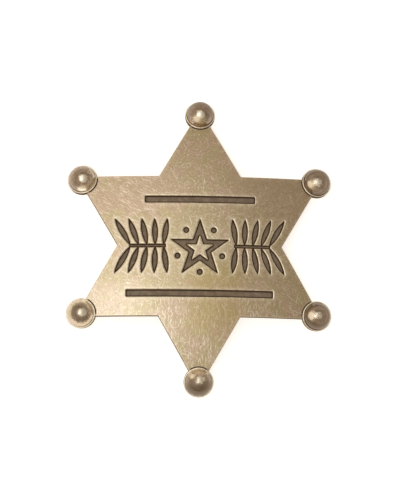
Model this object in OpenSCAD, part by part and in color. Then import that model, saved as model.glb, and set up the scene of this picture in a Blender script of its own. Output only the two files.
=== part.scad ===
// Six-pointed star badge with ball tips, lying face up as it rests on a table.
// +X is to the wearer's left, +Y to the top point and +Z out of the face.
// The origin is on the table under the middle of the star; the backs of the balls touch z = 0.

/* [Star plate] */
// Middle of the star to the sharp point of each arm, seen from the front
tip_r = 35.8; // [33:0.1:42]
// Radius of the sphere that the bulging face follows
dome_r = 150; // [120:5:200]
// Thickness of the plate
plate_t = 1.4; // [1.2:0.1:2.4]

/* [Ball tips] */
// How far the sharp point of an arm runs on past the middle of its ball
ball_inset = 1.5; // [0.5:0.1:2.5]
// Radius of each ball
ball_r = 3.5; // [2.8:0.05:3.6]
// Width of the flat rim round the foot of each ball
rim_w = 0.28; // [0.2:0.02:0.8]
// Height of that rim above the face of the plate
rim_h = 0.25; // [0.1:0.05:0.6]
// How far the upright side of that rim runs on below the face, down to the taper
rim_drop = 1.1; // [0.3:0.05:1.2]
// Radius of the flat back of each ball, where the taper ends
pad_w = 2.7; // [2:0.1:3.3]
// How far that flat back stands out behind the plate
pad_h = 0.3; // [0.1:0.05:0.8]

/* [Sunk panel] */
// Depth of the sunk figures below the face
sunk_d = 0.45; // [0.2:0.05:0.8]
// How far the middle of the figures lies below the middle of the star
panel_drop = 0.2; // [0:0.1:1]
// Height of the row of figures, from the tips of the leaves above to those below
panel_h = 14.2; // [12:0.1:15]
// Space between the row of figures and the bar above or below it
bar_gap = 4; // [3:0.1:4.5]
// Width of both bars
bar_w = 1.8; // [1.4:0.1:2.2]
// Length of the upper bar
upper_bar_l = 27.8; // [20:0.1:32]
// Length of the lower bar
lower_bar_l = 37; // [30:0.1:40]
// Corner radius of both bars
bar_corner_r = 0.3; // [0.1:0.05:0.6]
// Width of the line that draws the small star
line_w = 1.3; // [0.9:0.1:1.6]
// Radius of the round dots between the arms of the small star
dot_r = 0.75; // [0.5:0.05:0.95]
// Middle of each dot to the inner corner of the small star next to it
dot_out = 2.9; // [2.4:0.1:3.1]

/* [Leaf sprays] */
// Width of a leaf at its middle
leaf_w = 1.5; // [1.1:0.1:1.8]
// Distance between neighbouring leaves, measured along the stalk
leaf_pitch = 2.05; // [1.9:0.05:2.6]
// Lean of the leaf nearest to the small star, towards that star, in degrees from upright
inner_lean = 8; // [0:1:12]
// Lean of the outermost leaf, away from the small star, in degrees from upright
outer_lean = 30; // [20:1:34]
// Width of the stalk
stalk_w = 0.9; // [0.6:0.1:1.2]
// Space between the side point of the small star and the end of the stalk
stalk_gap = 1.1; // [0.8:0.1:2]
// Space between the outermost leaf's foot and the inner corner of the plate
waist_gap = 3.3; // [2.6:0.1:5]

/* [Brooch pin] */
// Height of the pin above the middle of the star, as worn
pin_y = 5; // [0:0.5:8]
// Length of the strip that is fixed to the back
strip_l = 35; // [32:0.5:38]
// Width of the strip
strip_w = 5; // [4:0.1:6]
// Thickness of the strip
strip_t = 0.8; // [0.6:0.05:1]
// Clearance between the strip and the back of the plate
seat_gap = 0.15; // [0.1:0.05:0.3]
// Middle of the hinge to the middle of the catch
pin_span = 28; // [24:0.5:30]
// Diameter of the wire
wire_d = 1; // [0.8:0.05:1.2]
// How far the wire runs on past the middle of the catch
wire_past = 3.2; // [2.8:0.1:4]
// Length of the ground point of the wire
point_l = 2; // [1:0.1:2.4]
// Outer radius of the hinge barrel and of the catch
knuckle_r = 1.25; // [1.1:0.05:1.5]
// Length of the hinge barrel across the strip
barrel_l = 4.2; // [3:0.1:5]
// Length of the catch along the wire
catch_l = 2.4; // [1.8:0.1:3]
// Clearance round the wire inside the catch
catch_gap = 0.25; // [0.2:0.05:0.3]
// Thickness of the foot that carries the catch
foot_t = 1.1; // [0.8:0.1:1.5]
// Clearance between the lowest point of the pin and the table
floor_gap = 0.35; // [0.2:0.05:0.6]

/* [Hidden] */
arms = 6;
small_arms = 5;
big_fn = 360;
round_fn = 64;
arc_fn = 180;
slack = 1;

// Where the sphere of the face, the balls and the figures lie
rim_r = ball_r + rim_w;
back_r = dome_r - plate_t;
pad_r = back_r - pad_h;
ball_at = tip_r - ball_inset;
ball_tilt = asin(ball_at / dome_r);
dome_z = pad_w * sin(ball_tilt) - pad_r * cos(ball_tilt);
face_z = dome_z + dome_r;
waist_x = tip_r * inner_share(arms);
bar_y = panel_h / 2 + bar_gap + bar_w / 2;
small_r = panel_h / (1 + cos(180 / small_arms));
small_drop = small_r - panel_h / 2;
small_edge = small_r * cos(360 / small_arms);
small_side_x = small_r * cos(90 / small_arms);
dot_at = small_r * inner_share(small_arms) + dot_out;
stalk_in_x = small_side_x + stalk_gap;
last_leaf_x = waist_x - waist_gap;
stalk_l = last_leaf_x - stalk_in_x + stalk_w / 2;
leaf_gaps = floor((stalk_l - stalk_w) / leaf_pitch);

// Where the parts of the pin lie
strip_top_r = back_r - seat_gap;
strip_low_r = strip_top_r - strip_t;
strip_mid_r = strip_top_r - strip_t / 2;
wire_z = floor_gap + knuckle_r;
hinge_x = -pin_span / 2;
catch_x = pin_span / 2;
catch_in_r = wire_d / 2 + catch_gap;

// Radius of the inner corners of a star whose edges run on in straight lines from arm to arm
function inner_share(n) = cos(360 / n) / cos(180 / n);

// Corners of such a star with n arms, the first one on +Y
function star_points(n, r) = [
    for (i = [0 : 2 * n - 1])
        let (reach = i % 2 == 0 ? r : r * inner_share(n))
        let (turn = 90 + i * 180 / n)
        [reach * cos(turn), reach * sin(turn)]
];

// A sphere about the same middle as the face, turned so that its poles lie off the badge
module dome_ball(r) {
    translate([0, 0, dome_z])
        rotate([0, 90, 0])
            sphere(r = r, $fn = big_fn);
}

// A flat shape carried up through the plate
module through() {
    translate([0, 0, -slack])
        linear_extrude(height = face_z + 2 * slack)
            children();
}

// A round-cornered bar about the middle of the panel
module bar(length) {
    flat_l = length - 2 * bar_corner_r;
    flat_w = bar_w - 2 * bar_corner_r;
    square([length, flat_w], center = true);
    square([flat_l, bar_w], center = true);
    for (side = [-1, 1], edge = [-1, 1])
        translate([side * flat_l / 2, edge * flat_w / 2])
            circle(r = bar_corner_r, $fn = round_fn);
}

// A star drawn in line, with a dot between each pair of arms
module small_star() {
    translate([0, -small_drop]) {
        difference() {
            polygon(star_points(small_arms, small_r));
            polygon(star_points(small_arms, small_r * (1 - line_w / small_edge)));
        }
        for (i = [0 : small_arms - 1])
            rotate(90 + (i + 0.5) * 360 / small_arms)
                translate([dot_at, 0])
                    circle(r = dot_r, $fn = round_fn);
    }
}

// A pointed leaf from the origin along +Y, where two equal arcs cross
module leaf(length) {
    arc_r = (length * length + leaf_w * leaf_w) / (4 * leaf_w);
    intersection() {
        translate([arc_r - leaf_w / 2, length / 2])
            circle(r = arc_r, $fn = arc_fn);
        translate([leaf_w / 2 - arc_r, length / 2])
            circle(r = arc_r, $fn = arc_fn);
    }
}

// A stalk with leaves above and below it, fanned from upright to the slope of the plate's edge
module spray() {
    translate([stalk_in_x, -stalk_w / 2])
        square([stalk_l, stalk_w]);
    for (i = [0 : leaf_gaps]) {
        lean = outer_lean - i * (outer_lean + inner_lean) / leaf_gaps;
        foot_x = last_leaf_x - i * leaf_pitch;
        for (edge = [0, 1])
            mirror([0, edge])
                translate([foot_x, 0])
                    rotate(-lean)
                        leaf(panel_h / 2 / cos(lean));
    }
}

// What a flat figure takes out of the face, down to a floor parallel to it
module sunk() {
    difference() {
        through()
            translate([0, -panel_drop])
                children();
        dome_ball(dome_r - sunk_d);
    }
}

// All sunk figures: the two bars, the small star and a spray on each side of it
module figures() {
    sunk()
        translate([0, bar_y])
            bar(upper_bar_l);
    sunk()
        translate([0, -bar_y])
            bar(lower_bar_l);
    sunk()
        small_star();
    for (side = [0, 1])
        mirror([side, 0, 0])
            sunk()
                spray();
}

// The domed star plate with its sunk figures
module plate() {
    difference() {
        intersection() {
            through()
                polygon(star_points(arms, tip_r));
            dome_ball(dome_r);
        }
        dome_ball(back_r);
        figures();
    }
}

// One ball on its rim, tapered to a flat back, square to the face at the point of an arm
module ball_tip() {
    taper_h = pad_h + plate_t - rim_drop;
    translate([0, 0, dome_z])
        rotate([-ball_tilt, 0, 0])
            translate([0, 0, dome_r])
                union() {
                    translate([0, 0, -rim_drop - taper_h])
                        cylinder(r1 = pad_w, r2 = rim_r, h = taper_h, $fn = round_fn);
                    translate([0, 0, -rim_drop])
                        cylinder(r = rim_r, h = rim_drop + rim_h, $fn = round_fn);
                    intersection() {
                        sphere(r = ball_r, $fn = round_fn);
                        cylinder(r = rim_r, h = ball_r + slack, $fn = round_fn);
                    }
                }
}

// Plate and balls, cast in one
module star() {
    color([0.66, 0.57, 0.42])
        union() {
            plate();
            for (i = [0 : arms - 1])
                rotate([0, 0, i * 360 / arms])
                    ball_tip();
        }
}

// The curved strip that follows the back of the plate
module strip() {
    difference() {
        intersection() {
            through()
                translate([0, pin_y]) {
                    square([strip_l - strip_w, strip_w], center = true);
                    for (side = [-1, 1])
                        translate([side * (strip_l - strip_w) / 2, 0])
                            circle(d = strip_w, $fn = round_fn);
                }
            dome_ball(strip_top_r);
        }
        dome_ball(strip_low_r);
    }
}

// A block from the height of the wire up into the strip
module foot(x, length, width) {
    intersection() {
        translate([x - length / 2, pin_y - width / 2, wire_z])
            cube([length, width, face_z]);
        dome_ball(strip_mid_r);
    }
}

// The barrel that holds the blunt end of the wire
module hinge() {
    foot(hinge_x, 2 * knuckle_r, barrel_l);
    translate([hinge_x, pin_y + barrel_l / 2, wire_z])
        rotate([90, 0, 0])
            cylinder(r = knuckle_r, h = barrel_l, $fn = round_fn);
}

// The hook that the wire lies in, open on the side of the lower arms
module catch() {
    mouth_w = 2 * catch_in_r;
    difference() {
        union() {
            foot(catch_x, catch_l, foot_t);
            translate([catch_x - catch_l / 2, pin_y, wire_z])
                rotate([0, 90, 0])
                    cylinder(r = knuckle_r, h = catch_l, $fn = round_fn);
        }
        translate([catch_x - catch_l / 2 - slack, pin_y, wire_z])
            rotate([0, 90, 0])
                cylinder(r = catch_in_r, h = catch_l + 2 * slack, $fn = round_fn);
        translate([catch_x - catch_l / 2 - slack, pin_y - knuckle_r - slack, wire_z - mouth_w / 2])
            cube([catch_l + 2 * slack, knuckle_r + slack, mouth_w / 2]);
    }
}

// The wire with its ground point
module wire() {
    shaft_l = pin_span + wire_past - point_l;
    translate([hinge_x, pin_y, wire_z])
        rotate([0, 90, 0]) {
            cylinder(d = wire_d, h = shaft_l, $fn = round_fn);
            translate([0, 0, shaft_l])
                cylinder(d1 = wire_d, d2 = 0, h = point_l, $fn = round_fn);
        }
}

// Strip, hinge, catch and wire as one piece behind the star
module brooch_pin() {
    color([0.74, 0.72, 0.68])
        union() {
            strip();
            hinge();
            catch();
            wire();
        }
}

star();
brooch_pin();
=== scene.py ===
import math

import bpy
import numpy as np
from mathutils import Matrix, Vector, geometry


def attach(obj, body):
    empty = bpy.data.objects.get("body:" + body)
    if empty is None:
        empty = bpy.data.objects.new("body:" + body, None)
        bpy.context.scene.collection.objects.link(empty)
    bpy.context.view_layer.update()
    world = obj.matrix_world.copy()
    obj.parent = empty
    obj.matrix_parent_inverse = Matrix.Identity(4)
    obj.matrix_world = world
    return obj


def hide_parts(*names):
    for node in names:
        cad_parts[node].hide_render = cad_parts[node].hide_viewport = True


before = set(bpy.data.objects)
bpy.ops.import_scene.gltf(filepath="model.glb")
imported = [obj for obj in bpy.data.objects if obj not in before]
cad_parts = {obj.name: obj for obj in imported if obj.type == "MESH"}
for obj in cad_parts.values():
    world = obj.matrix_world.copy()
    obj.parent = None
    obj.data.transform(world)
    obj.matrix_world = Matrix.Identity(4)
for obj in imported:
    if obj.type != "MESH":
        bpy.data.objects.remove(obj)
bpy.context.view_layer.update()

mm = 0.001

# Main sizes. All lengths of the badge are in millimetres until a mesh is built.
badge = {
    "faceRadius": 150.0,  # sphere that the face follows
    "plate": 1.4,  # thickness
    "arms": 6,
    "tip": 35.8,  # middle to the sharp point of an arm
    "corner": 0.3,  # rounding of the points and notches in the plan
    "ballAt": 34.3,  # middle of the star to the middle of a ball
    "ballRadius": 3.5,
    "backRadius": 2.7,  # flat back of a ball, which stands on the table
    "backHeight": 0.3,  # how far it stands out behind the plate
    "backPatina": 0.3,  # how dark the back is
    "lower": 0.002,  # how far all of it is set below the solid model, to stay inside that one's box
}
# How finely the surfaces are divided: spacings in mm, and numbers of points
fineness = {
    "edge": 1.0,  # between points along a straight side
    "smallEdge": 0.6,  # the same on the small star
    "face": 1.0,  # between points inside the face
    "floor": 0.3,
    "back": 2.0,
    "clearOfSeam": 0.6,  # grid points nearer than this share of the spacing to a seam's point are left out
    "clearOfEdge": 0.35,  # and so are all points that are this near to a border
    "clearOfWall": 0.95,  # share of its distance from a wall that a point on a floor keeps from the others
    "leastRound": 0.03,  # smallest radius of a corner in the plan
    "corner": 6,  # points on a rounded corner
    "lip": 6,  # rows down a rounded lip
    "foot": 4,  # rows round the foot of a wall, and round the edge of the back
    "dot": 32,  # points about a dot
    "leaf": 12,  # points along the side of a leaf
    "leafTip": 8,
    "ball": 72,  # points about a ball
    "bead": 12,  # rows over its bead
    "ballRows": 26,  # rows from the bead to its top
}
backSphere = badge["faceRadius"] - badge["plate"] - badge["backHeight"]
ballTilt = math.asin(badge["ballAt"] / badge["faceRadius"])
# height of the spheres' middle, at which the balls' backs touch the table
domeZ = badge["backRadius"] * math.sin(ballTilt) - backSphere * math.cos(ballTilt) - badge["lower"]
maskNames = ("polishAndReflection", "patinaAndShade", "toneAndReflection", "crownAndHighlight")


def upward(xy):
    # unit vector from the middle of the sphere through a point of the plan
    z = np.sqrt(badge["faceRadius"] ** 2 - (xy**2).sum(1))
    return np.column_stack([xy, z]) / badge["faceRadius"]


def lift(xy, height):
    # point of the plan raised to the sphere whose radius is the face's plus height
    z = np.sqrt((badge["faceRadius"] + height) ** 2 - (xy**2).sum(1))
    return np.column_stack([xy, domeZ + z])


def addObject(name, data):
    # object with this data in the scene
    made = bpy.data.objects.new(name, data)
    bpy.context.scene.collection.objects.link(made)
    return made


class Shell:
    # points, directions, the four masks and faces, gathered for one mesh
    def __init__(self):
        self.points = np.empty((0, 3))
        self.normals = np.empty((0, 3))
        self.masks = np.empty((0, len(maskNames)))
        self.faces = []

    def add(self, points, normals, polishAndReflection, patinaAndShade, toneAndReflection=0, crownAndHighlight=0):
        # appends points with their directions and masks, and gives back their numbers
        first = len(self.points)
        masks = np.empty((len(points), len(maskNames)))
        for column, value in enumerate((polishAndReflection, patinaAndShade, toneAndReflection, crownAndHighlight)):
            masks[:, column] = value
        self.points = np.vstack([self.points, points])
        self.normals = np.vstack([self.normals, normals])
        self.masks = np.vstack([self.masks, masks])
        return np.arange(first, first + len(points))

    def band(self, rows, flip=False):
        # quads between neighbouring closed rows that have equally many points
        rows = np.array(rows)
        after = np.roll(rows, -1, 1)
        quads = np.stack([rows[:-1], after[:-1], after[1:], rows[1:]], 2).reshape(-1, 4)
        self.faces += (quads[:, ::-1] if flip else quads).tolist()

    def cap(self, row, pole, flip=False):
        # a fan from a closed row to one point
        fan = np.column_stack([row, np.roll(row, -1), np.full(len(row), pole)])
        self.faces += (fan[:, ::-1] if flip else fan).tolist()

    def build(self, name):
        # mesh in metres, smooth, with the masks as attributes and the directions as its normals
        mesh = bpy.data.meshes.new(name)
        mesh.from_pydata((self.points * mm).tolist(), [], self.faces)
        mesh.polygons.foreach_set("use_smooth", np.ones(len(mesh.polygons), bool))
        for column, word in enumerate(maskNames):
            layer = mesh.attributes.new(word, "FLOAT", "POINT")
            layer.data.foreach_set("value", self.masks[:, column].astype(np.float32))
        length = np.linalg.norm(self.normals, axis=1, keepdims=True)
        mesh.update()
        mesh.normals_split_custom_set_from_vertices((self.normals / length).tolist())
        return addObject(name, mesh)


def starCorners(arms, reach):
    # corners at equal turns, by turns at full reach and where the straight edges of two arms meet, which is
    # at the reach times the cosine of a whole step over that of half a step
    step = np.arange(2 * arms)
    turn = math.pi / 2 + step * math.pi / arms
    inner = reach * math.cos(2 * math.pi / arms) / math.cos(math.pi / arms)
    radius = np.where(step % 2 == 0, reach, inner)
    return np.column_stack([radius * np.cos(turn), radius * np.sin(turn)])


def outline(corners, rounding, offset, spacing):
    # every edge moved outward by offset, every corner an arc that touches both of its edges
    steps = fineness["corner"]
    ahead = np.roll(corners, -1, 0) - corners
    length = np.linalg.norm(ahead, axis=1)
    along = ahead / length[:, None]
    before = np.roll(along, 1, 0)
    first = np.column_stack([before[:, 1], -before[:, 0]])
    last = np.column_stack([along[:, 1], -along[:, 0]])
    cross = before[:, 0] * along[:, 1] - before[:, 1] * along[:, 0]
    turn = np.arctan2(cross, (before * along).sum(1))
    side = np.sign(turn)
    radius = np.maximum(rounding + side * offset, fineness["leastRound"])
    mitre = (first + last) / (1 + (first * last).sum(1))[:, None]
    centre = corners + (offset - side * radius)[:, None] * mitre
    start = np.arctan2(first[:, 1], first[:, 0])
    angle = start[:, None] + turn[:, None] * np.linspace(0, 1, steps)
    toward = np.dstack([np.cos(angle), np.sin(angle)])
    arcs = centre[:, None] + (side * radius)[:, None, None] * toward
    points, normals = [], []
    for i, nextArc in enumerate(np.roll(arcs, -1, 0)):
        part = np.linspace(0, 1, max(2, round(length[i] / spacing)) + 1)[1:-1, None]
        points += [arcs[i], arcs[i][-1] + (nextArc[0] - arcs[i][-1]) * part]
        normals += [toward[i], np.repeat(last[i][None], len(part), 0)]
    return np.vstack(points), np.vstack(normals)


def disc(centre, radius, steps):
    # circle about a point: centre plus radius times cosine and sine of equal turns
    angle = np.arange(steps) * 2 * math.pi / steps
    toward = np.column_stack([np.cos(angle), np.sin(angle)])
    return centre + radius * toward, toward


def inside(points, loops):
    # true where an odd number of the closed loops' sides lies to the right of a point
    odd = np.zeros(len(points), bool)
    x, y = points[:, :1], points[:, 1:]
    for a in loops:
        b = np.roll(a, -1, 0)
        rise = b[:, 1] - a[:, 1]
        crossed = (a[:, 1] > y) != (b[:, 1] > y)
        at = a[:, 0] + (y - a[:, 1]) * (b[:, 0] - a[:, 0]) / np.where(rise == 0, 1, rise)
        odd ^= (crossed & (x < at)).sum(1) % 2 == 1
    return odd


def nearest(points, others):
    # distance from each point to the closest of the others
    return np.sqrt(((points[:, None] - others[None]) ** 2).sum(2).min(1))


def toLoops(points, loops):
    # distance from each point to the closest side of the closed loops, at the foot of its perpendicular
    # or at the side's end
    a = np.vstack(loops)
    ahead = np.vstack([np.roll(loop, -1, 0) - loop for loop in loops])
    away = points[:, None] - a[None]
    squared = np.maximum((ahead**2).sum(1), 1e-12)  # a side of no length counts as a point
    share = np.clip((away * ahead).sum(2) / squared, 0, 1)
    return np.sqrt(((away - share[..., None] * ahead) ** 2).sum(2).min(1))


def fill(shell, rows, height, spacing, masks, extra=None, flip=False):
    # closed rows of the shell joined by triangles over a staggered grid of points on their sphere
    loops = [shell.points[row][:, :2] for row in rows]
    border = np.vstack(loops)
    low, high = border.min(0), border.max(0)
    across, down = np.arange(low[0], high[0], spacing), np.arange(low[1], high[1], spacing)
    grid = np.stack(np.meshgrid(across, down), 2).reshape(-1, 2)
    grid[:, 0] += np.where(np.round((grid[:, 1] - low[1]) / spacing) % 2 == 0, 0, spacing / 2)
    if extra is not None:
        clear = nearest(grid, extra) > fineness["clearOfSeam"] * spacing
        grid = np.vstack([grid[clear], extra])
    grid = grid[inside(grid, loops)]
    distance = toLoops(grid, loops)
    clear = distance > fineness["clearOfEdge"] * spacing
    grid, distance = grid[clear], distance[clear]
    polishAndReflection, patinaAndShade = masks(grid, distance)
    inner = shell.add(lift(grid, height), (-1 if flip else 1) * upward(grid), polishAndReflection, patinaAndShade)
    index = np.concatenate([*rows, inner])
    flat = np.vstack([border, grid])
    starts = np.cumsum([0] + [len(row) for row in rows])
    fences = np.vstack([
        np.column_stack([s + np.arange(len(r)), s + np.roll(np.arange(len(r)), -1)])
        for s, r in zip(starts, rows)
    ])
    made = geometry.delaunay_2d_cdt([Vector(p) for p in flat.tolist()], fences.tolist(), [], 0, 1e-7)
    place = np.array([tuple(p) for p in made[0]])
    source = np.array([origin[0] for origin in made[3]])
    corners = np.array(made[2])
    corners = corners[inside(place[corners].mean(1), loops)]
    a, b, c = (place[corners[:, k]] for k in range(3))
    turned = (b - a)[:, 0] * (c - a)[:, 1] - (b - a)[:, 1] * (c - a)[:, 0]
    corners = np.where((turned < 0)[:, None], corners[:, ::-1], corners)
    faces = index[source[corners]]
    shell.faces += (faces[:, ::-1] if flip else faces).tolist()


# The plate's edges and the walls of the sunk figures. Widths and heights in mm.
edges = {
    "edgeWidth": 0.14,  # worn rounding of the plate's outer edge
    "edgeDrop": 0.14,
    "edgeClean": 0.3,  # share of the rounding that is worn bright before the patina and painted shade of the side start
    "edgeShine": 0.4,  # how bright it is worn
    "backRound": 0.16,  # rounding of its edge at the back
    "backShade": 0.85,  # how dark the edge is there
    "lipWidth": 0.38,  # worn rounding of the lips of the sunk figures
    "lipDrop": 0.18,
    "lipClean": 0.88,
    "lipShine": 0.65,
    "roundTo": 84,  # degrees over which a rounding turns down
    "shiniest": 0.2,  # share of it where it is shiniest
    "shineAlong": (0.7, 1, 0.9, 0.1),  # shine at its start, there, as far as it is clean, and at its end
    "dirtAlong": (0, 0.1, 1),  # patina at its start, as far as it is clean, and at its end
    "guard": 0.05,  # flat ring kept beside a rounding
    "sunk": 0.45,  # depth of the floors
    "footRound": 0.085,
    "footShade": (0.11, 0.24),  # how far from the foot of a wall the dark line holds, and where it has faded
    "floorShade": 0.72,  # how dark the floor is past it
    "wallSlope": 0.015,
}


def lipProfile(width, drop, side, clean, shine):
    # quarter of an ellipse from level to nearly upright. Columns: offset, height, out, up, polish, patina
    turn = np.radians(np.linspace(0, edges["roundTo"], fineness["lip"]))
    share = turn / turn[-1]
    polishAndReflection = shine * np.interp(share, [0, edges["shiniest"], clean, 1], edges["shineAlong"])
    patinaAndShade = np.interp(share, [0, clean, 1], edges["dirtAlong"])
    offset, height = side * width * (1 - np.sin(turn)), drop * (np.cos(turn) - 1)
    flush = [[side * (width + edges["guard"]), 0, 0, 1, shine / 2, 0]]
    out, up = -side * drop * np.sin(turn), width * np.cos(turn)
    return np.vstack([flush, np.column_stack([offset, height, out, up, polishAndReflection, patinaAndShade])])


def figureProfile():
    # lip, wall and rounded foot of a sunk figure, a quarter circle down to its floor
    lip = lipProfile(edges["lipWidth"], edges["lipDrop"], 1, edges["lipClean"], edges["lipShine"])
    turn = np.radians(np.linspace(0, 90, fineness["foot"]))
    r = edges["footRound"]
    offset = -edges["wallSlope"] - r + r * np.cos(turn)
    height = -edges["sunk"] + r - r * np.sin(turn)
    foot = np.column_stack([offset, height, -np.cos(turn), np.sin(turn), 0 * turn, 0 * turn + 1])
    return np.vstack([lip, foot])


def rimProfile():
    # rounded edge of the face, side wall and rounded edge of the back, a quarter circle. The patina on the
    # side wall is painted shade.
    lip = lipProfile(edges["edgeWidth"], edges["edgeDrop"], -1, edges["edgeClean"], edges["edgeShine"])
    turn = np.radians(np.linspace(0, 90, fineness["foot"]))
    r = edges["backRound"]
    offset, height = r * (np.cos(turn) - 1), -badge["plate"] + r - r * np.sin(turn)
    patinaAndShade = np.linspace(1, edges["backShade"], len(turn))
    back = np.column_stack([offset, height, np.cos(turn), -np.sin(turn), 0 * turn, patinaAndShade])
    return np.vstack([lip, back])


def stack(shell, shape, profile, flip=False):
    # one closed row for each line of the profile, all of them offsets of the same shape
    rows = []
    for offset, height, out, up, polishAndReflection, patinaAndShade in profile:
        xy, toward = shape(offset)
        normals = out * np.column_stack([toward, 0 * toward[:, :1]]) + up * upward(xy)
        rows.append(shell.add(lift(xy, height), normals, polishAndReflection, patinaAndShade))
    shell.band(rows, flip)
    return rows


# Sunk figures, all in the plan, as offsets of their own outlines
panel = {
    "drop": 0.2,  # how far the middle of the figures lies below the middle of the star
    "barAt": 12.0,  # middle of a bar above or below the middle of the figures
    "barWidth": 1.8,
    "upperBar": 27.8,
    "lowerBar": 37.0,
    "barCorner": 0.3,
    "height": 14.2,
    "starLine": 1.3,  # width of the line of the small star
    "starArms": 5,
    "dotRadius": 0.75,
    "dotOut": 2.9,  # from a notch of the small star to the middle of a dot
    "rounding": 0.12,  # corners of the small star and of the leaves
}
spray = {
    "leaves": 5,
    "leafWidth": 1.5,
    "pitch": 2.05,  # from leaf to leaf
    "innerLean": 8.0,  # degrees, towards the small star
    "outerLean": 30.0,  # degrees, away from it
    "stalkWidth": 0.9,
    "stalkFrom": 8.565,  # inner end of the stalk, from the middle of the badge
    "lastLeaf": 17.369,  # foot of the outermost leaf
    "stalkPast": 0.35,  # how far the stalk runs on past that foot
    "chamfer": 0.05,  # where the outlines of two leaves or of a leaf and the stalk cross
    "outerCut": (0.2, 0.04),  # outer end: share of its height where the first point lies, cut at the top
    "innerCut": (0.3, 0.12),  # the same at the inner end
}
smallReach = panel["height"] / (1 + math.cos(math.pi / panel["starArms"]))
smallEdge = smallReach * math.cos(2 * math.pi / panel["starArms"])
smallMiddle = np.array([0, panel["height"] / 2 - smallReach - panel["drop"]])
smallStep = 2 * math.pi / panel["starArms"]


def barShape(length, y):
    # rectangle with rounded corners
    half = np.array([length / 2, panel["barWidth"] / 2])
    corners = np.array([[-1, -1], [1, -1], [1, 1], [-1, 1]]) * half + [0, y - panel["drop"]]
    return lambda offset: outline(corners, panel["barCorner"], offset, fineness["edge"])


def smallStarShape(share, side):
    # star of that share of the small star's reach. Side is -1 where the cut lies inside of it
    corners = starCorners(panel["starArms"], smallReach * share) + smallMiddle

    def shape(offset):
        xy, toward = outline(corners, panel["rounding"], side * offset, fineness["smallEdge"])
        return xy, side * toward

    return shape


def dotShape(turn):
    # disc outside a notch of the small star
    reach = smallEdge / math.cos(smallStep / 2) + panel["dotOut"]
    centre = smallMiddle + reach * np.array([math.cos(turn), math.sin(turn)])
    return lambda offset: disc(centre, panel["dotRadius"] + offset, fineness["dot"])


def sprayHalf(offset):
    # upper half of a spray from its outer to its inner end. A leaf is two arcs about middles to its right and
    # left, joined by a small arc at its tip, and the stalk's upper edge runs from leaf to leaf
    i = np.arange(spray["leaves"])
    lean = np.radians(spray["outerLean"] - i * (spray["outerLean"] + spray["innerLean"]) / i[-1])
    axis = np.column_stack([np.sin(lean), np.cos(lean)])
    across = np.column_stack([np.cos(lean), -np.sin(lean)])
    length = panel["height"] / 2 / np.cos(lean)
    bend = (length**2 + spray["leafWidth"] ** 2) / (4 * spray["leafWidth"])
    reach = bend - spray["leafWidth"] / 2
    foot = np.column_stack([spray["lastLeaf"] - i * spray["pitch"], 0 * i])
    middle = foot + axis * length[:, None] / 2
    tipAt = np.sqrt((bend - panel["rounding"]) ** 2 - reach**2)
    half = np.arctan2(tipAt, reach)
    radius = bend + offset
    right, left = middle - across * reach[:, None], middle + across * reach[:, None]
    top = spray["stalkWidth"] / 2 + offset
    endX = spray["lastLeaf"] + spray["stalkPast"] + offset
    startX = spray["stalkFrom"] - offset
    chamfer = spray["chamfer"]
    skip = chamfer / radius
    enter = np.arctan2(top - right[:, 1], np.sqrt(radius**2 - (top - right[:, 1]) ** 2))
    enter[0] = -np.arccos((endX - right[0, 0]) / radius[0])
    leave = math.pi - np.arctan2(top - left[:, 1], np.sqrt(radius**2 - (top - left[:, 1]) ** 2))
    points, normals = [], []

    def arc(centre, r, start, stop, steps):
        # part of a circle from one turn to another
        angle = np.linspace(start, stop, steps)
        toward = np.column_stack([np.cos(angle), np.sin(angle)])
        points.append(centre + r * toward)
        normals.append(toward)

    def line(a, b, toward, steps):
        # straight from a to b
        part = np.linspace(0, 1, steps)[:, None]
        points.append(np.array(a) + (np.array(b) - a) * part)
        normals.append(np.repeat([toward], steps, 0))

    crossing = right[0, 1] + radius[0] * math.sin(enter[0])
    share, cut = spray["outerCut"]
    line([endX, share * crossing], [endX, crossing - cut], [1.0, 0.0], 2)
    share, cut = spray["innerCut"]
    for k in i:
        rightTip, leftTip = half[k] - lean[k], math.pi - half[k] - lean[k]
        tip = middle[k] + axis[k] * tipAt[k]
        arc(right[k], radius[k], enter[k] + skip[k], rightTip, fineness["leaf"])
        arc(tip, panel["rounding"] + offset, rightTip, leftTip, fineness["leafTip"])
        arc(left[k], radius[k], leftTip, leave[k] - skip[k], fineness["leaf"])
        fromX = left[k, 0] + radius[k] * math.cos(leave[k]) - chamfer
        if k == i[-1]:
            line([fromX, top], [startX + cut, top], [0.0, 1.0], 2)
        else:
            toX = right[k + 1, 0] + radius[k + 1] * math.cos(enter[k + 1]) + chamfer
            line([fromX, top], [toX, top], [0.0, 1.0], 4)
    line([startX, top - cut], [startX, share * top], [-1.0, 0.0], 2)
    return np.vstack(points), np.vstack(normals)


def sprayShape(side):
    # both halves in one loop, mirrored for the other side of the badge
    def shape(offset):
        upper, toward = sprayHalf(offset)
        flat = np.array([1, -1])
        xy = np.vstack([(upper * flat)[::-1], upper])
        toward = np.vstack([(toward * flat)[::-1], toward])
        if side < 0:
            xy, toward = (xy * [-1, 1])[::-1], (toward * [-1, 1])[::-1]
        return xy - [0, panel["drop"]], toward

    return shape


# Dark seam where the rims of the balls stand on the plate. Distances from the axis of a ball.
seam = {
    "near": 3.95,  # dark up to here
    "far": 4.15,  # and faded here
    "dull": 0.2,  # share of their shine that edges keep within that
    "rings": (3.64, 3.84, 3.95, 4.05, 4.15, 4.45),  # circles of points that carry it
}
ballTurns = math.pi / 2 + np.arange(badge["arms"]) * 2 * math.pi / badge["arms"]
ballAxes = np.column_stack([
    math.sin(ballTilt) * np.cos(ballTurns),
    math.sin(ballTilt) * np.sin(ballTurns),
    np.full(badge["arms"], math.cos(ballTilt)),
])


def ballDistance(points):
    # distance from each point to the axis of the nearest ball: root of its whole distance from the spheres'
    # middle squared less the part along the axis squared
    reach = points - [0, 0, domeZ]
    along = reach @ ballAxes.T
    return np.sqrt(np.maximum((reach**2).sum(1)[:, None] - along**2, 0)).min(1)


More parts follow.
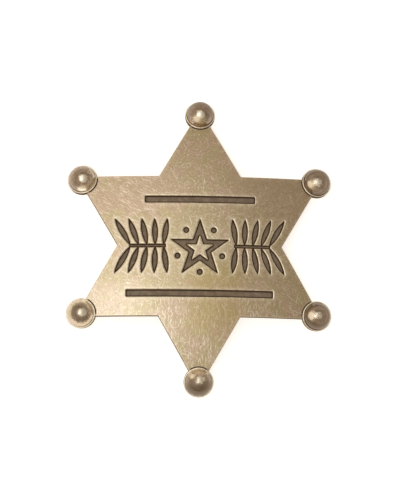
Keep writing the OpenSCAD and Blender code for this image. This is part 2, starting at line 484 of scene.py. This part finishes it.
def aroundBalls():
    # circles of points on the face about each ball: a circle square to the axis, moved out along it so far
    # that its points lie on the sphere
    turns = disc(np.zeros(2), 1, fineness["ball"])[1]
    made = []
    for axis in ballAxes:
        side = np.cross(axis, [0, 0, 1.0])
        side /= np.linalg.norm(side)
        circle = turns[:, :1] * side + turns[:, 1:] * np.cross(axis, side)
        for r in seam["rings"]:
            share = r / badge["faceRadius"]
            made.append(badge["faceRadius"] * (math.sqrt(1 - share**2) * axis + share * circle))
    return np.vstack(made)[:, :2]


def seamMasks(grid, distance):
    # polish and patina of the face: dark beside the balls, fading outward
    return 0, np.interp(ballDistance(lift(grid, 0)), (seam["near"], seam["far"]), (1, 0))


def plainMasks(grid, distance):
    # no polish and no patina
    return 0, 0


def floorMasks(grid, distance):
    # dark at the foot of the walls, patina and painted shade, fading to the floor's own shade
    return 0, np.interp(distance, edges["footShade"], (1, edges["floorShade"]))


def floorLoop(shape, profile):
    # points just inside the foot of a wall, so that its dark line has an even width
    xy, toward = shape(profile[-1, 0])
    loops = []
    for inset in edges["footShade"]:
        moved = xy - inset * toward
        clear = toLoops(moved, [xy]) > fineness["clearOfWall"] * inset
        loops.append(moved[clear])
    return np.vstack(loops)


def backMasks(grid, distance):
    # the same patina all over
    return 0, badge["backPatina"]


def plateShape(offset):
    # outline of the plate in the plan
    return outline(starCorners(badge["arms"], badge["tip"]), badge["corner"], offset, fineness["edge"])


def makePlate():
    # one closed shell: rounded rim, walls of the figures, face, middle of the small star, floors and back
    shell = Shell()
    profile = figureProfile()
    rim = stack(shell, plateShape, rimProfile(), True)
    shapes = [barShape(panel["upperBar"], panel["barAt"]), barShape(panel["lowerBar"], -panel["barAt"])]
    shapes += [sprayShape(1), sprayShape(-1)]
    shapes += [dotShape(math.pi / 2 + (k + 0.5) * smallStep) for k in range(panel["starArms"])]
    cuts = [stack(shell, shape, profile) for shape in shapes]
    starShapes = [smallStarShape(1, 1), smallStarShape(1 - panel["starLine"] / smallEdge, -1)]
    line, island = stack(shell, starShapes[0], profile), stack(shell, starShapes[1], profile, True)
    tops = [rim[0], line[0]] + [cut[0] for cut in cuts]
    fill(shell, tops, 0, fineness["face"], seamMasks, aroundBalls())
    fill(shell, [island[0]], 0, fineness["face"], plainMasks)
    for shape, cut in zip(shapes, cuts):
        fill(shell, [cut[-1]], -edges["sunk"], fineness["floor"], floorMasks, floorLoop(shape, profile))
    feet = np.vstack([floorLoop(shape, profile) for shape in starShapes])
    fill(shell, [line[-1], island[-1]], -edges["sunk"], fineness["floor"], floorMasks, feet)
    fill(shell, [rim[-1]], -badge["plate"], fineness["back"], backMasks, None, True)
    near = ballDistance(shell.points) < seam["far"]
    shell.masks[near, 0] *= seam["dull"]
    return shell.build("star_plate")


starPlate = makePlate()
print("plate:", len(starPlate.data.vertices), "points")

# The bead about the foot of a ball. Radii from the ball's axis and heights over the face.
bead = {
    "middle": 3.53,
    "halfWidth": 0.25,
    "height": 0.24,
    "turns": (0, 30, 45, 150, 165),  # degrees round it from its outer foot over its top
    "shine": (0, 0, 1.5, 1.5, 1),  # polish at those turns, over 1 stays bright through the clouding
    "dirtAndShade": (1, 1, 0, 0, 0.2),  # patina there, and painted shade on the outer foot
    "under": 0.06,  # how far below the face the bead turns into the upright side
    "drop": (1.06, 0.02),  # foot of the upright side: how far below the face, and how far drawn in
    "slope": (1.16, 0.09),  # top of the slope to the flat back: the same two
    "backEdge": (0.1, 0.01, 0.03),  # rounding of the flat back: inward, outward and up
    "footShine": (0.2, 0.4, 0, 0, 0, 0),  # polish from the flat back up to the bead
    "footDirtAndShade": (0.2, 0.4, 0.7, 1, 1),  # patina there, past the flat back, and painted shade on the upright side
    "groove": 0.2,  # how far the ball is drawn in beside the bead
    "grooveTop": 0.6,  # where that ends, radians up the ball
    "grooveTurns": (0.1, 0.3, 0.45),  # radians up the ball
    "grooveDirt": (0.35, 0.2, 0),  # patina there
}


def footProfile():
    # flat back, slope, upright side, and the bead as half an ellipse. Columns: radius, height, polish, patina
    back, outer = -badge["plate"] - badge["backHeight"], bead["middle"] + bead["halfWidth"]
    inward, outward, up = bead["backEdge"]
    (drop, atDrop), (slope, atSlope) = bead["drop"], bead["slope"]
    flat = badge["backRadius"]
    radii = [flat - inward, flat + outward, outer - atSlope, outer - atDrop, outer, outer]
    heights = [back, back + up, -slope, -drop, -drop / 2, -bead["under"]]
    dirtAndShade = [badge["backPatina"], *bead["footDirtAndShade"]]
    below = np.column_stack([radii, heights, bead["footShine"], dirtAndShade])
    degrees = np.linspace(0, bead["turns"][-1], fineness["bead"])
    radius = bead["middle"] + bead["halfWidth"] * np.cos(np.radians(degrees))
    height = bead["height"] * np.sin(np.radians(degrees))
    polishAndReflection = np.interp(degrees, bead["turns"], bead["shine"])
    patinaAndShade = np.interp(degrees, bead["turns"], bead["dirtAndShade"])
    return np.vstack([below, np.column_stack([radius, height, polishAndReflection, patinaAndShade])])


# Wear of each ball, with painted highlights and reflections. Places are directions by their shares along +X
# and +Y.
# the crown, rubbed bright on top and a painted highlight: where, and where it starts to fade and ends, as
# shares of the radius
# spot: a second bright place, a painted reflection, with its radius and strength
# tones: how brown it is at the crown, half way down and at its foot, over 1 is darker still
# lean: how much browner towards one side, and that side in degrees
# plate: how much less brown and how much shinier it is beside the plate, a painted reflection of the plate
# side: how dark the upright side of its rim is, painted shade
ballWear = {
    "top": {
        "crownAndHighlight": ((0.04, -0.12), 0.19, 0.5), "paintedReflection": ((-0.29, -0.48), 0.26, 0.9),
        "tones": (0.05, 0.92, 1.3), "lean": (0.3, 40), "plate": (0.8, 0.0), "side": 1.0,
    },
    "upperLeft": {
        "crownAndHighlight": ((0.04, -0.1), 0.25, 0.48), "paintedReflection": ((0.0, -0.86), 0.4, 0.8),
        "tones": (0.0, 0.88, 0.87), "lean": (0.2, 310), "plate": (0.85, 0.8), "side": 1.0,
    },
    "lowerLeft": {
        "crownAndHighlight": ((0.1, -0.1), 0.28, 0.48), "paintedReflection": ((0.1, -0.95), 0.3, 0.25),
        "tones": (-0.1, 1.12, 0.1), "lean": (0.15, 150), "plate": (0.9, 3.4), "side": 1.0,
    },
    "bottom": {
        "crownAndHighlight": ((0.13, 0.0), 0.22, 0.54), "paintedReflection": ((-0.5, 0.32), 0.2, 0.75),
        "tones": (0.1, 0.95, 1.25), "lean": (0.65, 285), "plate": (0.75, 2.4), "side": 0.6,
    },
    "lowerRight": {
        "crownAndHighlight": ((0.12, -0.08), 0.16, 0.62), "paintedReflection": ((-0.58, -0.12), 0.38, 1.0),
        "tones": (0.25, 1.02, 2.4), "lean": (0.0, 30), "plate": (0.5, 0.3), "side": 0.7,
    },
    "upperRight": {
        "crownAndHighlight": ((0.08, -0.14), 0.2, 0.78), "paintedReflection": ((-0.58, -0.28), 0.3, 0.9),
        "tones": (0.25, 0.93, 1.8), "lean": (0.2, 30), "plate": (0.5, 0.1), "side": 1.0,
    },
}
wearAt = (0.14, 0.4, 0.6, 0.85)  # shares of the radius at which the tones hold, the middle one from and to
reflectionReach = 1.5  # how many of its radii a spot reaches, and it fades over the last of them
plateReflectionFacing = (0.55, 0.9)  # how much a ball faces the plate where the painted reflection beside it starts and is full


def leaning(x, y):
    # unit vector that points up and has these shares along X and Y
    return np.array([x, y, math.sqrt(1 - x * x - y * y)])


def wearOf(wear, normals, axis):
    # tone, crown and polish of a ball's points, from their directions. The tone runs through the ball's three
    # tones with the distance from its crown, plus the lean, less what it lacks beside the plate and in the
    # spot, which are painted reflections. The crown, also a painted highlight, and the spot fade out from
    # their middles, and the polish rises towards the plate as its painted reflection.
    middle, full, gone = wear["crownAndHighlight"]
    share = np.sqrt(np.maximum(1 - (normals @ leaning(*middle)) ** 2, 0))
    top, half, foot = wear["tones"]
    toneAndReflection = np.interp(share, wearAt, (top, half, half, foot))
    amount, towards = wear["lean"]
    toneAndReflection += amount * (normals[:, :2] @ [math.cos(math.radians(towards)), math.sin(math.radians(towards))])
    beside = np.maximum(-normals[:, :2] @ axis[:2] / np.hypot(*axis[:2]), 0)
    reflectionPaler, reflectionShine = wear["plate"]
    place, radius, strength = wear["paintedReflection"]
    away = np.linalg.norm(normals - leaning(*place), axis=1) / radius
    paintedReflection = strength * np.clip(reflectionReach - away, 0, 1)
    crownAndHighlight = np.maximum(np.interp(share, (full, gone), (1, 0)), paintedReflection)
    return toneAndReflection - reflectionPaler * beside - paintedReflection, crownAndHighlight, np.interp(beside, plateReflectionFacing, (0, reflectionShine))


def makeBalls():
    # profile of foot and ball carried about each ball's axis. The ball is a circle of its radius, less a
    # groove beside the bead that fades with the square of the way up
    shell = Shell()
    r = badge["ballRadius"]
    foot = footProfile()
    turn = np.linspace(np.arcsin(foot[-1, 1] / r), math.pi / 2, fineness["ballRows"])[:-1]
    drawn = bead["groove"] * np.clip(1 - turn / bead["grooveTop"], 0, 1) ** 2
    dirtAndShade = np.interp(turn, bead["grooveTurns"], bead["grooveDirt"])
    cap = np.column_stack([r * np.cos(turn) - drawn, r * np.sin(turn), 0 * turn, dirtAndShade])
    profile = np.vstack([foot, cap])
    slope = np.gradient(profile[:, :2], axis=0)
    flat = np.column_stack([slope[:, 1], -slope[:, 0]])
    flat /= np.linalg.norm(flat, axis=1, keepdims=True)
    sphere = np.flatnonzero(turn > bead["grooveTop"])  # rows above the groove
    flat[len(foot) + sphere] = cap[sphere, :2] / r
    flat[0] = [0, -1]
    middle = np.array([0, 0, domeZ])
    turns = disc(np.zeros(2), 1, fineness["ball"])[1]
    for axis, wear in zip(ballAxes, ballWear.values()):
        side = np.cross([0, 1.0, 0], axis)
        side /= np.linalg.norm(side)
        around = turns[:, :1] * side + turns[:, 1:] * np.cross(axis, side)
        rows = []
        for k, ((radius, height, polishAndReflection, patinaAndShade), (out, up)) in enumerate(zip(profile, flat)):
            points = middle + radius * around + (badge["faceRadius"] + height) * axis
            normals = out * around + up * axis
            toneAndReflection, crownAndHighlight, reflectionShine = wearOf(wear, normals, axis)
            onBall = k >= len(foot)
            # the shine beside the plate is a painted reflection of it
            shine = np.maximum(polishAndReflection, onBall * reflectionShine)
            # below the face the patina is also painted shade on the upright side
            dirtAndShade = patinaAndShade * (wear["side"] if height < 0 else 1)
            rows.append(shell.add(points, normals, shine, dirtAndShade, onBall * toneAndReflection, onBall * crownAndHighlight))
        shell.band(rows)
        toneAndReflection, crownAndHighlight, reflectionShine = wearOf(wear, axis[None], axis)
        top = middle + (badge["faceRadius"] + r) * axis
        pole = shell.add(top[None], axis[None], reflectionShine, 0, toneAndReflection, crownAndHighlight)[0]
        back = shell.add((middle + backSphere * axis)[None], -axis[None], 0, badge["backPatina"])[0]
        shell.cap(rows[-1], pole)
        shell.cap(rows[0], back, True)
    return shell.build("ball_tips")


ballTips = makeBalls()
print("balls:", len(ballTips.data.vertices), "points")


class Graph:
    # short ways to add and join shader nodes
    def __init__(self, owner):
        # starts the nodes of a material or of the world afresh
        owner.use_nodes = True
        self.tree = owner.node_tree
        self.tree.nodes.clear()

    def node(self, kind, sockets=None, **settings):
        # a value that is another node's socket is linked, any other is set
        made = self.tree.nodes.new("ShaderNode" + kind)
        for word, value in settings.items():
            setattr(made, word, value)
        for word, value in (sockets or {}).items():
            if isinstance(value, bpy.types.NodeSocket):
                self.tree.links.new(value, made.inputs[word])
            else:
                made.inputs[word].default_value = value
        return made

    def math(self, operation, a, b=0.0, clamp=False):
        # two numbers joined by the operation
        return self.node("Math", {0: a, 1: b}, operation=operation, use_clamp=clamp).outputs[0]

    def plus(self, a, b):
        return self.math("ADD", a, b)

    def minus(self, a, b):
        return self.math("SUBTRACT", a, b)

    def times(self, a, b, clamp=False):
        return self.math("MULTIPLY", a, b, clamp)

    def vector(self, operation, a, b=(0, 0, 0), scale=1.0):
        # the same for two vectors, or for one and a scale
        return self.node("VectorMath", {0: a, 1: b, 3: scale}, operation=operation).outputs[0]

    def smooth(self, value, low, high, toLow=0.0, toHigh=1.0):
        # goes from toLow to toHigh while the value goes from low to high, slowly near both
        sockets = {"Value": value, "From Min": low, "From Max": high, "To Min": toLow, "To Max": toHigh}
        return self.node("MapRange", sockets, interpolation_type="SMOOTHSTEP").outputs[0]

    def ramp(self, value, low, high, toLow=0.0, toHigh=1.0):
        # the same along a straight line
        sockets = {"Value": value, "From Min": low, "From Max": high, "To Min": toLow, "To Max": toHigh}
        return self.node("MapRange", sockets).outputs[0]

    def mix(self, share, a, b):
        # colour a where the share is 0 and b where it is 1
        return self.node("Mix", {0: share, 6: a, 7: b}, data_type="RGBA").outputs[2]

    def noise(self, place, scale, detail, rough, distortion=0.0):
        # cloudy pattern with values about one half
        sockets = {"Vector": place, "Scale": scale, "Detail": detail, "Roughness": rough}
        return self.node("TexNoise", {**sockets, "Distortion": distortion}).outputs[0]

    def turned(self, place, angle, long, fine):
        # place turned about Z and squeezed, so that a noise over it runs in streaks along the angle
        made = self.node("VectorRotate", {"Vector": place, "Angle": -angle}, rotation_type="Z_AXIS")
        return self.vector("MULTIPLY", made.outputs[0], (1 / long, 1 / fine, 1))

    def hairlines(self, place, cell, width, reach, angle, spread, share, shift):
        # one slightly bent line in each cell of a pattern, and the cell's own colour gives its turn, bend and
        # weight. u runs along the line and v across it, and the line lies where v plus the bend times u
        # squared is small
        at = self.vector("ADD", self.vector("SCALE", place, scale=1 / cell), (shift, 1.7 * shift, 0))
        cells = self.node("TexVoronoi", {"Vector": at, "Scale": 1.0}, voronoi_dimensions="2D")
        local = self.node("SeparateXYZ", {0: self.vector("SUBTRACT", at, cells.outputs["Position"])})
        dice = self.node("SeparateColor", {0: cells.outputs["Color"]})
        turn = self.ramp(dice.outputs[0], 0, 1, angle - spread / 2, angle + spread / 2)
        cos, sin = self.math("COSINE", turn), self.math("SINE", turn)
        x, y = local.outputs[0], local.outputs[1]
        u = self.plus(self.times(x, cos), self.times(y, sin))
        v = self.minus(self.times(y, cos), self.times(x, sin))
        bent = self.ramp(dice.outputs[1], 0, 1, -hairBend, hairBend)
        bend = self.times(self.times(u, u), bent)
        away = self.math("ABSOLUTE", self.plus(v, bend))
        line = self.smooth(away, 0.0, width / cell, 1.0, 0.0)
        ends = self.smooth(self.math("ABSOLUTE", u), reach / 2, reach, 1.0, 0.0)
        weight = self.ramp(dice.outputs[2], 1 - share, 1)
        return self.times(self.times(line, ends), weight)


# Colours are linear red, green, blue and opacity
brass = {
    "base": (0.67, 0.515, 0.34, 1),
    "shade": (0.50, 0.39, 0.26, 1),
    "pink": (0.71, 0.505, 0.41, 1),
    "olive": (0.60, 0.52, 0.28, 1),
    "polishAndHighlight": (0.92, 0.83, 0.68, 1),
    "gold": (0.50, 0.38, 0.15, 1),
    "patinaAndShade": (0.07, 0.043, 0.022, 1),
    "floor": (0.195, 0.151, 0.122, 1),
    "brown": (0.28, 0.215, 0.165, 1),
    "brownLight": (0.37, 0.285, 0.225, 1),
    "brownDeep": (0.17, 0.125, 0.088, 1),
    "roughness": (0.26, 0.36),  # least and most
    "dirtRougher": 0.35,  # how much rougher dirt is
    "ballSmoother": 0.05,
    "dirtDuller": 0.8,  # how much less metallic dirt is
    "thickDuller": 0.2,  # and how much less again where it is thick
    "specular": 0.03,
    "bump": 0.022 * mm,
    "hairDepth": 0.5,  # depth of the hairlines as a share of the bump
}
# Noises over the badge: scale per mm, detail and roughness
noises = {
    "blotch": (0.22, 3, 0.6),
    "mottle": (0.7, 4, 0.65),
    "cloud": (0.9, 3, 0.6),
    "grain": (4.4, 4, 0.75),
    "fleck": (2.6, 4, 0.75),
    "brushed": (1.8, 4, 0.7),
    "pit": (5.0, 3, 0.7),
}
# Places whose finish differs: where each starts and where it is full, in mm along X and along Y
zones = {
    "lowArm": ((-17, -10), (-8, -16)),
    "left": ((-4, -14), (-8, 0)),
    "right": ((4, 14), (-12, -4)),
    # where the highlight at the lower left is painted
    "highlightLowLeft": ((-10, -18), (-7, -12)),
}
# Brushing that runs in streaks in a zone: angle in radians, length and width of a streak, distortion
streaks = {"lowArm": (1.55, 2.0, 0.3, 0.0), "left": (2.65, 2.2, 0.36, 0.6)}
streakNoise = (1.0, 4, 0.65)  # scale, detail and roughness
# Coats that follow a noise: which noise, from and to which value, how much at each, and the colour
coats = (
    ("mottle", 0.3, 0.7, 0.0, 0.4, "shade"),
    ("grain", 0.44, 0.56, 0.0, 1.0, "shade"),
    ("grain", 0.43, 0.32, 0.0, 0.8, "polishAndHighlight"),
    ("brushed", 0.32, 0.48, 0.9, 0.0, "shade"),
    ("brushed", 0.54, 0.7, 0.0, 0.8, "polishAndHighlight"),
)
# Hairlines over the whole badge and in zones: cell size, width, reach, angle, spread, share of cells, shift
hairs = {
    "everywhere": (
        (3.4, 0.14, 0.45, 0.0, 6.28, 0.6, 0.0),
        (2.1, 0.11, 0.45, 0.8, 6.28, 0.6, 7.3),
        (1.1, 0.10, 0.42, 0.3, 6.28, 0.5, 3.1),
        (4.8, 0.12, 0.45, 2.1, 1.6, 0.7, 11.9),
    ),
    "lowArm": ((1.9, 0.16, 0.46, 1.55, 0.5, 0.8, 5.7), (1.2, 0.13, 0.46, 1.6, 0.9, 0.7, 9.2)),
    "left": ((3.2, 0.15, 0.46, 2.65, 0.7, 0.8, 2.9), (1.8, 0.13, 0.46, 2.6, 1.0, 0.8, 6.1)),
}
hairBend = 0.25  # most bend of a hairline, either way
# Large changes of tone over the badge. Four numbers are a range along Y and the amount at each of its ends.
drift = {
    "even": 0.1,  # share of the base colour in the pink and olive
    "toOlive": (0.42, 0.58),  # range of the blotch noise in which pink turns olive
    "oliveMiddle": (11, 6, 0.0, 0.14),  # more olive near the middle line
    "pinkSides": 0.1,  # less olive at the left and right
    "calmTop": (17, 25, 1.0, 0.4),  # fewer hairlines in the top arm
    "calmLeft": 0.45,  # share that is left there of the hairlines that run everywhere
    # painted highlight at the lower left
    "paintedHighlightLowLeft": 0.17,
    "shadeRight": (13, 17, 0.35, 0.7),  # painted shade at the right, darkest near the top
    "goldAcross": (4, 10, 4),  # golden place: middle along X, where it starts and where it is full
    "goldAlong": (-13, 12, 6, 0.45),  # the same along Y, and how golden
}
# Wear and dirt. Two numbers are the range of a noise or mask over which a coat sets in, and four numbers are
# such a range and the amount at each of its ends.
wearing = {
    "cloudRange": (0.3, 0.7),
    "fleckRange": (0.3, 0.7),
    "onBall": (0.0, 0.25),  # tone or crown, which only the balls have
    "crownFleck": 0.25,  # how far flecks reach into a rubbed crown
    "worn": (0.25, 0.85),  # rubbed crown, which is also a painted highlight
    "brownShift": (0.35, 0.65),  # from brown to light brown by the cloud noise
    "brownDeep": (0.9, 1.5),  # to deep brown by the tone
    "toneFleck": (0.1, 0.5, 0.7, 0.1),  # flecks in the brown, by how far the tone is from half way
    "toned": (0.25, 0.75),  # brown
    "pits": (0.53, 0.62, 0.0, 0.7),
    "pitCrown": (0.6, 0.1),  # pits stay out of the crown
    "dirtCloud": 0.1,  # how far the clouds shift the edge of the dirt
    "dirtAndShade": (0.15, 0.9),
    "thick": (0.72, 0.98),  # from the floors' dirt to the thick patina of walls and seams, and painted shade on the outer sides
    "shineCloud": (0.3, 0.65, 0.3, 1.0),
}


def makeBrass():
    # a colour that drifts between pink and olive, and coats mixed over it one by one, each by its own mask:
    # noises, hairlines, changes of tone with a painted highlight and painted shade, rubbed crowns that are
    # painted highlights too, brown and pits of the balls, dirt and painted shade, shine and painted
    # reflections
    material = bpy.data.materials.new("antique_brass")
    g = Graph(material)
    place = g.vector("SCALE", g.node("TexCoord").outputs["Object"], scale=1 / mm)
    masks = [g.node("Attribute", attribute_name=word).outputs["Fac"] for word in maskNames]
    polishAndReflection, patinaAndShade, toneAndReflection, crownAndHighlight = masks
    x, y, _ = g.node("SeparateXYZ", {0: place}).outputs
    zone = {}
    for word, (alongX, alongY) in zones.items():
        zone[word] = g.times(g.smooth(x, *alongX), g.smooth(y, *alongY))
    noise = {word: g.noise(place, *values) for word, values in noises.items()}
    for word, (angle, long, fine, distortion) in streaks.items():
        lengthways = g.noise(g.turned(place, angle, long, fine), *streakNoise, distortion)
        noise["brushed"] = g.mix(zone[word], noise["brushed"], lengthways)
    cloud, fleck = noise["cloud"], noise["fleck"]

    # colour of the bare metal, with a painted highlight at the lower left and painted shade at the right
    more = g.smooth(g.math("ABSOLUTE", y), *drift["oliveMiddle"])
    less = g.times(g.math("MAXIMUM", zone["left"], zone["right"]), drift["pinkSides"])
    tint = g.smooth(g.minus(g.plus(noise["blotch"], more), less), *drift["toOlive"])
    colour = g.mix(drift["even"], g.mix(tint, brass["pink"], brass["olive"]), brass["base"])
    for word, low, high, atLow, atHigh, coat in coats:
        colour = g.mix(g.smooth(noise[word], low, high, atLow, atHigh), colour, brass[coat])
    lines = 0.0
    calmLeft = g.ramp(zone["left"], 0, 1, 1.0, drift["calmLeft"])
    zone["everywhere"] = g.times(g.smooth(y, *drift["calmTop"]), calmLeft)
    for word, rows in hairs.items():
        for row in rows:
            lines = g.math("MAXIMUM", lines, g.times(g.hairlines(place, *row), zone[word]))
    colour = g.mix(lines, colour, brass["polishAndHighlight"])
    # painted highlight at the lower left, in the polished colour
    colour = g.mix(g.times(zone["highlightLowLeft"], drift["paintedHighlightLowLeft"]), colour, brass["polishAndHighlight"])
    # painted shade over the right side, darkest near the top
    paintedShade = g.times(zone["right"], g.smooth(y, *drift["shadeRight"]))
    colour = g.mix(paintedShade, colour, brass["shade"])
    middle, *ends = drift["goldAcross"]
    across = g.smooth(g.math("ABSOLUTE", g.minus(x, middle)), *ends)
    middle, start, full, amount = drift["goldAlong"]
    along = g.smooth(g.math("ABSOLUTE", g.minus(y, middle)), start, full, 0.0, amount)
    colour = g.mix(g.times(across, along), colour, brass["gold"])

    # rubbed crowns with painted highlights and reflections, brown and pits of the balls
    onBall = g.smooth(g.plus(toneAndReflection, crownAndHighlight), *wearing["onBall"])
    flecks = g.ramp(fleck, *wearing["fleckRange"], -wearing["crownFleck"], wearing["crownFleck"])
    # the rubbed crown, which is also the painted highlight and the painted reflections of each ball
    colour = g.mix(g.smooth(g.plus(crownAndHighlight, flecks), *wearing["worn"]), colour, brass["polishAndHighlight"])
    brown = g.mix(g.smooth(cloud, *wearing["brownShift"]), brass["brown"], brass["brownLight"])
    brown = g.mix(g.smooth(toneAndReflection, *wearing["brownDeep"]), brown, brass["brownDeep"])
    doubt = g.smooth(g.math("ABSOLUTE", g.minus(toneAndReflection, 0.5)), *wearing["toneFleck"])
    flecks = g.times(g.ramp(fleck, *wearing["fleckRange"], -1.0, 1.0), doubt)
    colour = g.mix(g.smooth(g.plus(toneAndReflection, flecks), *wearing["toned"]), colour, brown)
    pits = g.times(g.smooth(noise["pit"], *wearing["pits"]), onBall)
    pits = g.times(pits, g.smooth(crownAndHighlight, *wearing["pitCrown"]))
    colour = g.mix(pits, colour, brass["brownDeep"])

    # dirt in the recesses, painted shade on the outer sides and at the foot of walls, and shine on the edges
    # with a painted reflection of the plate on the balls
    clouded = g.ramp(cloud, *wearing["cloudRange"], -wearing["dirtCloud"], wearing["dirtCloud"])
    dirtAndShade = g.smooth(g.plus(patinaAndShade, clouded), *wearing["dirtAndShade"])
    thick = g.smooth(patinaAndShade, *wearing["thick"])
    colour = g.mix(dirtAndShade, colour, g.mix(thick, brass["floor"], brass["patinaAndShade"]))
    # polish on the edges and beads, and the painted reflection of the plate on the balls
    shine = g.times(polishAndReflection, g.smooth(cloud, *wearing["shineCloud"]), clamp=True)
    colour = g.mix(shine, colour, brass["polishAndHighlight"])

    rough = g.ramp(cloud, *wearing["cloudRange"], *brass["roughness"])
    rough = g.plus(rough, g.times(dirtAndShade, brass["dirtRougher"]))
    rough = g.minus(rough, g.times(onBall, brass["ballSmoother"]))
    metal = g.ramp(dirtAndShade, 0, 1, 1.0, 1.0 - brass["dirtDuller"])
    metal = g.minus(metal, g.times(thick, brass["thickDuller"]))
    height = g.minus(noise["grain"], g.times(lines, brass["hairDepth"]))
    bump = g.node("Bump", {"Strength": 1.0, "Distance": brass["bump"], "Height": height})
    shader = g.node("BsdfPrincipled", {
        "Base Color": colour,
        "Metallic": metal,
        "Roughness": rough,
        "Specular IOR Level": brass["specular"],
        "Normal": bump.outputs[0],
    })
    g.node("OutputMaterial", {"Surface": shader.outputs[0]})
    return material


# Nickel of the pin
pinMetal = {
    "bright": (0.62, 0.6, 0.56, 1),
    "dull": (0.47, 0.44, 0.40, 1),
    "cloud": (0.8, 4, 0.6),  # noise: scale per mm, detail and roughness
    "dulling": (0.35, 0.7),  # range of it from bright to dull
    "roughness": (0.3, 0.7, 0.28, 0.42),  # another range of it, and the roughness at each end
    "grain": (5.0, 3, 0.6),  # noise of the bump
    "bump": 0.006 * mm,
}


def makePinMetal():
    # nickel, clouded between a bright and a dull grey
    material = bpy.data.materials.new("pin_metal")
    g = Graph(material)
    place = g.vector("SCALE", g.node("TexCoord").outputs["Object"], scale=1 / mm)
    cloud = g.noise(place, *pinMetal["cloud"])
    height = g.noise(place, *pinMetal["grain"])
    bump = g.node("Bump", {"Strength": 1.0, "Distance": pinMetal["bump"], "Height": height})
    shader = g.node("BsdfPrincipled", {
        "Base Color": g.mix(g.smooth(cloud, *pinMetal["dulling"]), pinMetal["bright"], pinMetal["dull"]),
        "Metallic": 1.0,
        "Roughness": g.ramp(cloud, *pinMetal["roughness"]),
        "Normal": bump.outputs[0],
    })
    g.node("OutputMaterial", {"Surface": shader.outputs[0]})
    return material


brassMaterial = makeBrass()
for piece in (starPlate, ballTips):
    piece.data.materials.append(brassMaterial)
    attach(piece, "root")
    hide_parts("star")
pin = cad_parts["brooch_pin"]
pin.data.materials.clear()
pin.data.materials.append(makePinMetal())
print("materials are on")

# Light table, lamps and surroundings
studio = {
    "tableSize": 3.0,  # metres
    "tableColour": (0.9, 0.9, 0.9, 1),
    "tableRoughness": 0.6,
    "tableSpecular": 0.2,
    "tableGlow": 0.58,
    "worldStrength": 0.53,
    "lowBoost": 1.3,  # how much brighter it is near the horizon
    "worldColour": (1.12, 1.0, 0.82, 1),
    "highFall": (-0.67, -0.18),  # how the light from high up changes towards +X and +Y
    "lowFall": (-0.1, 0.1),  # the same for light from near the horizon
    "highUp": (0.45, 0.8),  # heights on the unit sphere between which the one becomes the other
    "lowest": 0.15,  # share of the light that is left where it falls off most
}
# Lamps: place, width and height in metres, radiance and colour
lamps = {
    "key": ((-0.364, -0.206, 1.2), 0.25, 0.4, 2.17, (0.88, 1.02, 1.17)),
    "fill": ((-0.253, 0.137, 1.2), 0.64, 0.96, 0.65, (0.96, 1.0, 1.04)),
}


def makeTable():
    # pale square that glows, so that the shadows on it stay soft
    half = studio["tableSize"] / 2
    corners = [(-half, -half, 0), (half, -half, 0), (half, half, 0), (-half, half, 0)]
    mesh = bpy.data.meshes.new("table")
    mesh.from_pydata(corners, [], [(0, 1, 2, 3)])
    material = bpy.data.materials.new("table")
    g = Graph(material)
    shader = g.node("BsdfPrincipled", {
        "Base Color": studio["tableColour"],
        "Roughness": studio["tableRoughness"],
        "Specular IOR Level": studio["tableSpecular"],
        "Emission Color": (1, 1, 1, 1),
        "Emission Strength": studio["tableGlow"],
    })
    g.node("OutputMaterial", {"Surface": shader.outputs[0]})
    mesh.materials.append(material)
    addObject("table", mesh)


def makeLamp(name, place, width, height, radiance, colour):
    # rectangle that faces the badge; power from the radiance wanted, which is power over pi times the area
    lamp = bpy.data.lights.new(name, "AREA")
    lamp.shape, lamp.size, lamp.size_y = "RECTANGLE", width, height
    lamp.energy = radiance * math.pi * width * height
    lamp.color = colour
    back = Vector(place).normalized()
    right = Vector((0, 1, 0)).cross(back).normalized()
    turn = Matrix((right, back.cross(right), back)).transposed().to_4x4()
    addObject(name, lamp).matrix_world = Matrix.Translation(place) @ turn


def makeWorld():
    # light from all sides: 1 plus the falls along X and Y, times the boost near the horizon
    world = bpy.data.worlds.new("surroundings")
    bpy.context.scene.world = world
    g = Graph(world)
    toward = g.node("SeparateXYZ", {0: g.node("TexCoord").outputs["Generated"]})
    share = g.smooth(toward.outputs[2], *studio["highUp"])
    fall = 0.0
    for k in (0, 1):
        slope = g.ramp(share, 0, 1, studio["lowFall"][k], studio["highFall"][k])
        fall = g.plus(fall, g.times(toward.outputs[k], slope))
    level = g.times(g.plus(1.0, fall), g.ramp(share, 0, 1, studio["lowBoost"], 1.0))
    strength = g.times(g.math("MAXIMUM", level, studio["lowest"]), studio["worldStrength"])
    shader = g.node("Background", {"Color": studio["worldColour"], "Strength": strength})
    g.node("OutputWorld", {"Surface": shader.outputs[0]})


makeTable()
makeWorld()
for name, settings in lamps.items():
    makeLamp(name, *settings)
print("table and lights are in place")

# The photograph's camera
lens = {
    "toward": (-0.0431, -0.1885, 0.9811),  # where it stands from the top of the dome
    "up": (-0.0141, 0.9821, 0.188),  # which way is up in its picture
    "distance": 0.72,  # metres
    "sensor": 36.0,
    "focal": 206.45,
    "shift": -0.0103,
}


def makeCamera():
    # stands off from the top of the dome along its direction and looks back at it
    data = bpy.data.cameras.new("camera")
    data.sensor_fit, data.sensor_height, data.lens = "VERTICAL", lens["sensor"], lens["focal"]
    data.shift_y = lens["shift"]
    data.clip_start, data.clip_end = 0.01, 20
    camera = addObject("camera", data)
    z = Vector(lens["toward"]).normalized()
    x = Vector(lens["up"]).cross(z).normalized()
    turn = Matrix((x, z.cross(x), z)).transposed().to_4x4()
    apex = Vector((0, 0, (domeZ + badge["faceRadius"]) * mm))
    camera.matrix_world = Matrix.Translation(apex + z * lens["distance"]) @ turn
    bpy.context.scene.camera = camera


makeCamera()
bpy.context.scene.view_settings.view_transform = "Standard"
